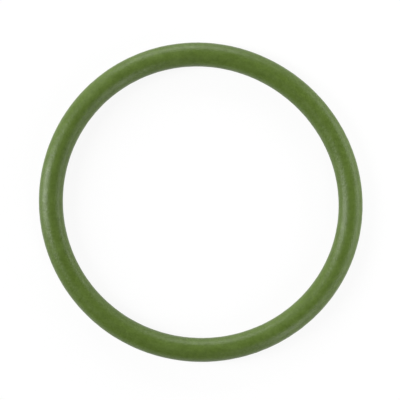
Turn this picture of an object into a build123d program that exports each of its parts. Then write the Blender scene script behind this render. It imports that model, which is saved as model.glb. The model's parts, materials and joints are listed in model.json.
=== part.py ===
"""O-ring seal: one solid ring of rubber with a round section, moulded in one piece.

A ring of this kind is ordered by two sizes, and they drive the model: the inside diameter, which is stretched
a little over a spigot or a pipe end, and the section, which is squeezed between that and the bore around it.

Millimetres. The origin is the centre of the ring on its middle plane, and +Z is the ring's axis.
"""

import os

from build123d import *

# Driving dimensions, of the free ring before it is stretched or squeezed
INSIDE_DIAMETER = 40.87
SECTION_DIAMETER = 3.53

# The circle on which the middle of the section runs round the axis
SECTION_CENTRE_RADIUS = (INSIDE_DIAMETER + SECTION_DIAMETER) / 2

# The ring: its round section, turned once about the axis
with BuildPart() as o_ring:
    with BuildSketch(Plane.XZ) as section:
        with Locations((SECTION_CENTRE_RADIUS, 0)):
            Circle(SECTION_DIAMETER / 2)
    revolve(axis=Axis.Z)
o_ring.part.label = "o_ring"

os.makedirs("parts", exist_ok=True)
export_step(o_ring.part, "parts/o_ring.step")

ring_box = o_ring.part.bounding_box()
print(f"inside diameter {INSIDE_DIAMETER} mm, section {SECTION_DIAMETER} mm")
print(f"outside diameter {ring_box.size.X:.2f} mm, height {ring_box.size.Z:.2f} mm")
print(f"volume {o_ring.part.volume:.1f} mm3")
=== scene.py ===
# %% [markdown]
# A rubber o-ring, photographed from straight above on white. The ring is one moulded piece, so this
# lesson has one object to model, one material to mix and one small studio to light it in. The packed
# model is loaded first. It gives the ring's real size and place, and the mesh and the camera are worked
# out from it.

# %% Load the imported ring
import json
import math

import bpy
import numpy as np
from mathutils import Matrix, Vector, noise


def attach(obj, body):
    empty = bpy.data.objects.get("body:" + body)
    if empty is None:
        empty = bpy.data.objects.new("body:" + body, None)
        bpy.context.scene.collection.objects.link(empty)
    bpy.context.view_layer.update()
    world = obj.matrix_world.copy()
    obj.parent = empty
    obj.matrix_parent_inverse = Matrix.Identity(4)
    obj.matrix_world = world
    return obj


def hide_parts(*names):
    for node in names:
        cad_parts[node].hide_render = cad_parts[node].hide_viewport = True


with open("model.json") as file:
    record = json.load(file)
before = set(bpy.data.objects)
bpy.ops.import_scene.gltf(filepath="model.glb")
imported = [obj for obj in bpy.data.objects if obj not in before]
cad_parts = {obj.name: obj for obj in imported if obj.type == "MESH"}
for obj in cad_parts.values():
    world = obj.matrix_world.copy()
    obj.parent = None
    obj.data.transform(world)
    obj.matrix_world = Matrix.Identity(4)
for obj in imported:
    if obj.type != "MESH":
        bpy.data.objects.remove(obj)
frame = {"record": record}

MM = 0.001
scene = bpy.context.scene
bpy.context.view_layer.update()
seat_radius = {mount["name"]: mount["dims"]["r_mm"] * MM for mount in frame["record"]["mounts"]}
inside_radius = seat_radius["spigot_seat"]
outside_radius = seat_radius["housing_seat"]
section_radius = (outside_radius - inside_radius) / 2
centre_radius = (outside_radius + inside_radius) / 2
print(f"section {2 * section_radius / MM:.2f} mm, inside {2 * inside_radius / MM:.2f} mm across")

# %% [markdown]
# A rubber ring is round when it is made, but it keeps a trace of the bag it was packed in and lies a
# little oval. The drawing's circle would be right for the part and wrong for the picture. A lattice could
# push it out of round by hand. Two slow waves round the ring are simpler: one has two crests and a
# smaller one has three, and they move only the middle line of the rubber. The section stays as it is.

# %% How the soft ring lies
OVAL_RISE = 0.233 * MM
OVAL_AXIS = math.radians(-23.3)
THREE_CORNER_RISE = 0.066 * MM
THREE_CORNER_AXIS = math.radians(-11.8)


def lie_radius(angle):
    """Distance from the axis to the middle of the rubber, at an angle round the ring."""
    oval = OVAL_RISE * np.cos(2 * (angle - OVAL_AXIS))
    three_corner = THREE_CORNER_RISE * np.cos(3 * (angle - THREE_CORNER_AXIS))
    return centre_radius + oval + three_corner


quarter_turns = np.radians([0, 90, 180, 270])
print("middle line at the quarter turns, mm:", np.round(lie_radius(quarter_turns) / MM, 2))

# %% [markdown]
# The mould closes on the ring's middle plane. A film of rubber creeps between its halves and is torn off
# later, and what remains is a fine raised line round the inside and the outside. A bump map could draw
# it, but it shows on the silhouette from the side, so it is a shape and belongs in the mesh. The tear is
# uneven, so its height wanders a little, by a noise that is read along a circle.

# %% The parting line that the mould leaves
LINE_HEIGHT = 0.030 * MM
LINE_HALF_WIDTH = 0.12 * MM
LINE_UNEVENNESS = 0.55
TEARS_ACROSS = 30
SIDES_APART = 10.0


def line_height(angle, side):
    """Height of the torn line at an angle round the ring: side 0 is the outside and side 1 the inside."""
    spot = (math.cos(angle) * TEARS_ACROSS, math.sin(angle) * TEARS_ACROSS, side * SIDES_APART)
    return LINE_HEIGHT * (1 + LINE_UNEVENNESS * noise.noise(Vector(spot)))


def line_profile(offset):
    """Share of the height at a distance from the line's middle: a rounded ridge that runs out smoothly."""
    share_of_width = np.clip(np.abs(offset) / LINE_HALF_WIDTH, 0, 1)
    return 0.5 + 0.5 * np.cos(math.pi * share_of_width)


sample_heights = [round(line_height(angle, 0) / MM, 3) for angle in (0.0, 1.0, 2.0)]
print("line height at three angles, mm:", sample_heights)

# %% [markdown]
# The section is a circle with the two fine lines on it. Points that are spaced evenly round it would miss
# the lines, or be far too many. So they stand close together in a band across each line, and wider apart
# on the two smooth halves between.

# %% The points of the section
LINE_BAND = 0.18 * MM
STEPS_PER_BAND = 12
STEPS_PER_HALF = 40

band_angle = LINE_BAND / section_radius
band_angles = np.linspace(-band_angle, band_angle, STEPS_PER_BAND + 1)
half_angles = np.linspace(band_angle, math.pi - band_angle, STEPS_PER_HALF + 1)[1:-1]
section_angles = np.concatenate([band_angles, half_angles, band_angles + math.pi, half_angles + math.pi])
ridge = line_profile(section_radius * np.arcsin(np.sin(section_angles)))
outer_ridge = ridge * (np.cos(section_angles) > 0)
inner_ridge = ridge * (np.cos(section_angles) < 0)
steps_round_section = len(section_angles)
print(f"section: {steps_round_section} points")

# %% [markdown]
# Rows of points make the ring here, and the table further on. Two helpers serve both: one joins each row
# to the next with quads, and the other makes an object of the points and faces.

# %% Helpers for meshes


def quads_between_rows(rows, columns, first_point=0, closed=False):
    """Quads between rows of points, each row a loop. Where closed is true, the last row meets the first."""
    quads = []
    for row in range(rows if closed else rows - 1):
        here = first_point + row * columns
        there = first_point + (row + 1) % rows * columns
        for column in range(columns):
            beside = (column + 1) % columns
            quads.append((here + column, there + column, there + beside, here + beside))
    return quads


def mesh_object(name, points, faces):
    """A smooth-shaded object of these points and faces, linked to the scene."""
    mesh = bpy.data.meshes.new(name)
    mesh.from_pydata(points, [], faces)
    mesh.shade_smooth()
    made = bpy.data.objects.new(name, mesh)
    scene.collection.objects.link(made)
    return made


print("two loops of three points are joined by", quads_between_rows(rows=2, columns=3))

# %% [markdown]
# A torus could come from a curve with a bevel, or from a circle under a Screw modifier. Both turn one and
# the same section all the way, and here the lie and the torn line change with the angle. So the points
# are worked out in rows, one row round the section for each step round the ring.

# %% The ring's mesh
STEPS_ROUND_RING = 640

ring_rows = []
for angle in np.arange(STEPS_ROUND_RING) * 2 * math.pi / STEPS_ROUND_RING:
    reach = section_radius + line_height(angle, 0) * outer_ridge + line_height(angle, 1) * inner_ridge
    from_axis = lie_radius(angle) + reach * np.cos(section_angles)
    above_plane = reach * np.sin(section_angles)
    row_points = (from_axis * math.cos(angle), from_axis * math.sin(angle), above_plane)
    ring_rows.append(np.stack(row_points, axis=1))

ring_points = np.concatenate(ring_rows).tolist()
ring_faces = quads_between_rows(STEPS_ROUND_RING, steps_round_section, closed=True)
ring = mesh_object("o_ring_moulded", ring_points, ring_faces)
print(f"ring mesh: {len(ring_points)} points, {2 * len(ring_faces)} triangles")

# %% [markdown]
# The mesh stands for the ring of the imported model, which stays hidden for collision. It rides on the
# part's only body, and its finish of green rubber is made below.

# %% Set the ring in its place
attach(ring, "root")
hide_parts("o_ring")
print("ring rides on root and stands for o_ring")

# %% [markdown]
# A material is a tree of nodes, from its patterns to its shader. Colours are written as sRGB hex values,
# as a paint program shows them, and one function turns them to the linear light that shaders work in. One
# small function adds a node with its settings and what feeds it.

# %% Helpers for materials


def linear(hex_colour):
    """A colour written as sRGB hex, as the linear RGBA that shaders work in."""
    channels = [int(hex_colour[i:i + 2], 16) / 255 for i in (1, 3, 5)]
    light = [c / 12.92 if c <= 0.04045 else ((c + 0.055) / 1.055) ** 2.4 for c in channels]
    return (*light, 1.0)


def add_node(tree, kind, feeds=None, **settings):
    """Add a node. A feed is a socket's identifier with a value, or with the output that is linked to it."""
    node = tree.nodes.new(kind)
    for name, value in settings.items():
        setattr(node, name, value)
    sockets = {socket.identifier: socket for socket in node.inputs}
    for name, feed in (feeds or {}).items():
        if isinstance(feed, bpy.types.NodeSocket):
            tree.links.new(feed, sockets[name])
        else:
            sockets[name].default_value = feed
    return node


def new_material(name):
    """An empty node material, and its node tree."""
    material = bpy.data.materials.new(name)
    material.use_nodes = True
    material.node_tree.nodes.clear()
    return material, material.node_tree


print("mid grey #808080 in linear light:", round(linear("#808080")[0], 3))

# %% [markdown]
# The rubber is a green fluoroelastomer, FKM, pressed in a hot mould with a finely blasted cavity. That
# gives the eye a satin skin: colour that is dense and opaque, broad soft highlights, and a grain that is
# felt more than seen. The colour comes first. A picture wrapped round the ring would have a seam, and a
# noise that is read from the place in space has none. Pigment that isn't quite evenly mixed mottles the
# green, from over a millimetre down to fine specks. The torn line is paler, because it never touched the
# mould.

# %% The green of moulded FKM
MOTTLE_SIZE = 1.5 * MM
MOTTLE_HALVINGS = 3.0
MOTTLE_KEPT_PER_HALVING = 1.0
DEEP_GREEN = "#394d05"
PALE_GREEN = "#617736"
TORN_GREEN = "#6d7f48"
TORN_HALF_WIDTH = 0.3 * LINE_HALF_WIDTH

rubber, tree = new_material("fkm_green_moulded")
place = add_node(tree, "ShaderNodeTexCoord").outputs["Object"]
mottle = add_node(tree, "ShaderNodeTexNoise", {
    "Vector": place,
    "Scale": 1 / MOTTLE_SIZE,
    "Detail": MOTTLE_HALVINGS,
    "Roughness": MOTTLE_KEPT_PER_HALVING,
})
green = add_node(tree, "ShaderNodeMix", {
    "Factor_Float": mottle.outputs[0],
    "A_Color": linear(DEEP_GREEN),
    "B_Color": linear(PALE_GREEN),
}, data_type="RGBA")

height_above_plane = add_node(tree, "ShaderNodeSeparateXYZ", {"Vector": place}).outputs["Z"]
off_plane = add_node(tree, "ShaderNodeMath", {"Value": height_above_plane}, operation="ABSOLUTE")
torn = add_node(tree, "ShaderNodeMapRange", {
    "Value": off_plane.outputs[0],
    "From Min": TORN_HALF_WIDTH,
    "From Max": LINE_HALF_WIDTH,
    "To Min": 1.0,
    "To Max": 0.0,
})
rubber_colour = add_node(tree, "ShaderNodeMix", {
    "Factor_Float": torn.outputs[0],
    "A_Color": green.outputs["Result"],
    "B_Color": linear(TORN_GREEN),
}, data_type="RGBA")
print("colour of", rubber.name, "from", len(tree.nodes), "nodes")

# %% [markdown]
# Two more patterns make the gloss. The polish of the mould varies over a millimetre or two, so the
# roughness does too. It starts from that of a satin moulding and is matched to the width of the
# highlights. The blasted grain breaks them up, as a bump, because it is too fine for the mesh. It is
# about 0.1 mm wide on a real ring, which is less than a pixel here, so it is drawn over three times as
# coarse, and deeper in step. The IOR is typical of fluoroelastomer, which bends light less than most
# rubbers do.

# %% The satin skin of moulded FKM
RUBBER_IOR = 1.40
RUBBER_ROUGHNESS = (0.37, 0.47)
POLISH_SIZE = 1.4 * MM
POLISH_SPREAD = (0.3, 0.7)
GRAIN_SIZE = 0.34 * MM
GRAIN_DEPTH = 0.045 * MM
SKIN_HALVINGS = 2.0

polish = add_node(tree, "ShaderNodeTexNoise", {
    "Vector": place,
    "Scale": 1 / POLISH_SIZE,
    "Detail": SKIN_HALVINGS,
})
gloss = add_node(tree, "ShaderNodeMapRange", {
    "Value": polish.outputs[0],
    "From Min": POLISH_SPREAD[0],
    "From Max": POLISH_SPREAD[1],
    "To Min": RUBBER_ROUGHNESS[0],
    "To Max": RUBBER_ROUGHNESS[1],
})
grain = add_node(tree, "ShaderNodeTexNoise", {
    "Vector": place,
    "Scale": 1 / GRAIN_SIZE,
    "Detail": SKIN_HALVINGS,
})
skin = add_node(tree, "ShaderNodeBump", {
    "Height": grain.outputs[0],
    "Distance": GRAIN_DEPTH,
    "Strength": 1.0,
})
shader = add_node(tree, "ShaderNodeBsdfPrincipled", {
    "Base Color": rubber_colour.outputs["Result"],
    "Roughness": gloss.outputs[0],
    "IOR": RUBBER_IOR,
    "Normal": skin.outputs[0],
})
add_node(tree, "ShaderNodeOutputMaterial", {"Surface": shader.outputs[0]})
ring.data.materials.append(rubber)
print("material", rubber.name, "with", len(tree.nodes), "nodes")

# %% [markdown]
# The ring lies on a white table that turns up at its rim, like a photographer's cove, so that it is white
# behind the ring from every side. A plain plane would end at a horizon. The table is turned from a
# profile: flat from the middle outwards, then a quarter of a circle up the rim.

# %% The table's shape
TABLE_RADIUS = 2.5
FLAT_ROWS = (0.25, 0.7)
COVE_RADIUS = 0.3
COVE_STEPS = 12
TABLE_SIDES = 96

table_height = -section_radius
profile = [(share * TABLE_RADIUS, 0.0) for share in FLAT_ROWS]
for step in range(COVE_STEPS + 1):
    climb = math.pi / 2 * step / COVE_STEPS
    profile.append((TABLE_RADIUS + COVE_RADIUS * math.sin(climb), COVE_RADIUS * (1 - math.cos(climb))))

table_points = [(0.0, 0.0, table_height)]
for out, rise in profile:
    for side in range(TABLE_SIDES):
        bearing = 2 * math.pi * side / TABLE_SIDES
        table_points.append((out * math.cos(bearing), out * math.sin(bearing), table_height + rise))
middle_faces = [(0, 1 + side, 1 + (side + 1) % TABLE_SIDES) for side in range(TABLE_SIDES)]
table_faces = middle_faces + quads_between_rows(len(profile), TABLE_SIDES, first_point=1)
table = mesh_object("white_table", table_points, table_faces)
print(f"table: {len(table_faces)} faces, level with the ring's underside at {table_height / MM:.2f} mm")

# %% [markdown]
# The table looks matt white. Light alone would have to be strong to make it white in the picture, and the
# ring would be too bright. Instead it is a matt grey that glows for the camera, and for reflections.
# Round the ring the glow is short of white by as much as the lamps add, and far away, where the lamps
# don't reach, it is white by itself. Where the ring keeps the lamps out, their share is missing: that is
# the shadow. Right under the rubber the glow dies away too, by ambient occlusion, as a painted contact
# shadow, and so the ring sits on the table.

# %% The table's matt white
GLOW_BY_THE_RING = 0.90
GLOW_FAR_AWAY = 1.0
LIT_REACH = (0.05, 0.30)
# How far the painted contact shadow under the ring reaches.
CONTACT_SHADE_REACH = 0.6 * MM
TABLE_GREY = "#5a5a5a"

table_paint, tree = new_material("matt_white_table")
ray = add_node(tree, "ShaderNodeLightPath")
seen_or_mirrored = add_node(tree, "ShaderNodeMath", {
    "Value": ray.outputs["Is Camera Ray"],
    "Value_001": ray.outputs["Is Glossy Ray"],
}, operation="MAXIMUM")
seen_at_all = add_node(tree, "ShaderNodeMath", {
    "Value": seen_or_mirrored.outputs[0],
    "Value_001": ray.outputs["Is Transmission Ray"],
}, operation="MAXIMUM")

spot = add_node(tree, "ShaderNodeTexCoord").outputs["Object"]
from_middle = add_node(tree, "ShaderNodeVectorMath", {"Vector": spot}, operation="LENGTH")
open_glow = add_node(tree, "ShaderNodeMapRange", {
    "Value": from_middle.outputs["Value"],
    "From Min": LIT_REACH[0],
    "From Max": LIT_REACH[1],
    "To Min": GLOW_BY_THE_RING,
    "To Max": GLOW_FAR_AWAY,
})
# Ambient occlusion dims the glow right under the ring: a painted contact shadow.
open_sky = add_node(tree, "ShaderNodeAmbientOcclusion", {"Distance": CONTACT_SHADE_REACH})
glow_with_painted_contact_shade = add_node(tree, "ShaderNodeMath", {
    "Value": open_glow.outputs[0],
    "Value_001": open_sky.outputs["AO"],
}, operation="MULTIPLY")
glow = add_node(tree, "ShaderNodeMath", {
    "Value": seen_at_all.outputs[0],
    "Value_001": glow_with_painted_contact_shade.outputs[0],
}, operation="MULTIPLY")

lit = add_node(tree, "ShaderNodeBsdfDiffuse", {"Color": linear(TABLE_GREY)})
glowing = add_node(tree, "ShaderNodeEmission", {"Strength": glow.outputs[0]})
both = add_node(tree, "ShaderNodeAddShader", {"Shader": lit.outputs[0], "Shader_001": glowing.outputs[0]})
add_node(tree, "ShaderNodeOutputMaterial", {"Surface": both.outputs[0]})
table.data.materials.append(table_paint)
print("material", table_paint.name, "with", len(tree.nodes), "nodes")

# %% [markdown]
# A soft box is a lamp behind a sheet of white cloth, and an area lamp stands for it. Its power could be
# found by trial. Here it is worked out from the light that the box should give on a level surface at the
# ring, by adding up what comes from a grid of points on its face.

# %% A soft box
FACE_STEPS = np.linspace(-0.45, 0.45, 10)


def soft_box(name, azimuth, elevation, distance, width, height, level):
    """A rectangular lamp aimed at the ring. Level is the share of light that it gives on a level surface."""
    around = math.radians(azimuth)
    up = math.radians(elevation)
    away = Vector((math.cos(around) * math.cos(up), math.sin(around) * math.cos(up), math.sin(up)))
    aim = away.to_track_quat("Z", "Y")
    lamp = bpy.data.lights.new(name, "AREA")
    lamp.shape = "RECTANGLE"
    lamp.size = width
    lamp.size_y = height
    box = bpy.data.objects.new(name, lamp)
    box.location = away * distance
    box.rotation_euler = aim.to_euler()
    box.visible_camera = False
    scene.collection.objects.link(box)

    reached = 0.0
    for across in FACE_STEPS:
        for along in FACE_STEPS:
            face_point = box.location + aim @ Vector((across * width, along * height, 0.0))
            towards = face_point.normalized()
            reached += towards.dot(away) * towards.z / face_point.length_squared
    lamp.energy = level * math.pi ** 2 * len(FACE_STEPS) ** 2 / reached
    print(f"{name}: {lamp.energy:.2f} W")


# %% [markdown]
# Four soft boxes light the ring, and each can be read from a highlight on the rubber. A strip box on the
# left gives the bright band there. A wide box at the top lights the upper edges. Another stands low and
# close on the right, so its light falls off across the ring. A small box at the lower right gives the
# short glint. Their levels come to about 1 together, at which a colour renders about as it is written.
# The rest of the studio is a dim grey room, and the world stands for it.

# %% The studio
ROOM_GREY = "#404040"

soft_box("strip_box_left", azimuth=175.5, elevation=30, distance=0.62,
         width=0.18, height=0.56, level=0.52)
soft_box("wide_box_top", azimuth=98, elevation=17.5, distance=0.36,
         width=0.35, height=0.22, level=0.22)
soft_box("wide_box_right", azimuth=7, elevation=14.5, distance=0.12,
         width=0.19, height=0.06, level=0.16)
soft_box("small_box_lower_right", azimuth=305, elevation=26, distance=0.40,
         width=0.05, height=0.32, level=0.16)

world = bpy.data.worlds.new("dim_room")
world.use_nodes = True
world.node_tree.nodes["Background"].inputs["Color"].default_value = linear(ROOM_GREY)
scene.world = world
print("world", world.name, ROOM_GREY)

# %% [markdown]
# The camera hangs straight above the ring, with the top of the picture towards +Y. A long lens keeps both
# edges of the rubber equally wide. Its height follows from the picture: the ring's outside radius in
# pixels gives the size of a pixel, and that the width of the field. The ring isn't quite in the middle of
# the picture, so the camera moves aside. The Standard view transform shows colours as they are written.

# %% The camera
PICTURE_SIDE_PX = 400
RING_CENTRE_PX = (200.39, 202.50)
RING_OUTSIDE_PX = 160.59
LENS_MM = 200

metres_per_px = outside_radius / RING_OUTSIDE_PX
field_width = PICTURE_SIDE_PX * metres_per_px
aside_px = PICTURE_SIDE_PX / 2 - RING_CENTRE_PX[0]
ahead_px = RING_CENTRE_PX[1] - PICTURE_SIDE_PX / 2
camera_data = bpy.data.cameras.new("overhead_camera")
camera_data.lens = LENS_MM
camera_height = field_width * LENS_MM / camera_data.sensor_width
camera = bpy.data.objects.new("overhead_camera", camera_data)
camera.location = (aside_px * metres_per_px, ahead_px * metres_per_px, camera_height)
scene.collection.objects.link(camera)
scene.camera = camera
scene.view_settings.view_transform = "Standard"
print(f"camera {camera_height / MM:.1f} mm above the ring, field {field_width / MM:.2f} mm wide")
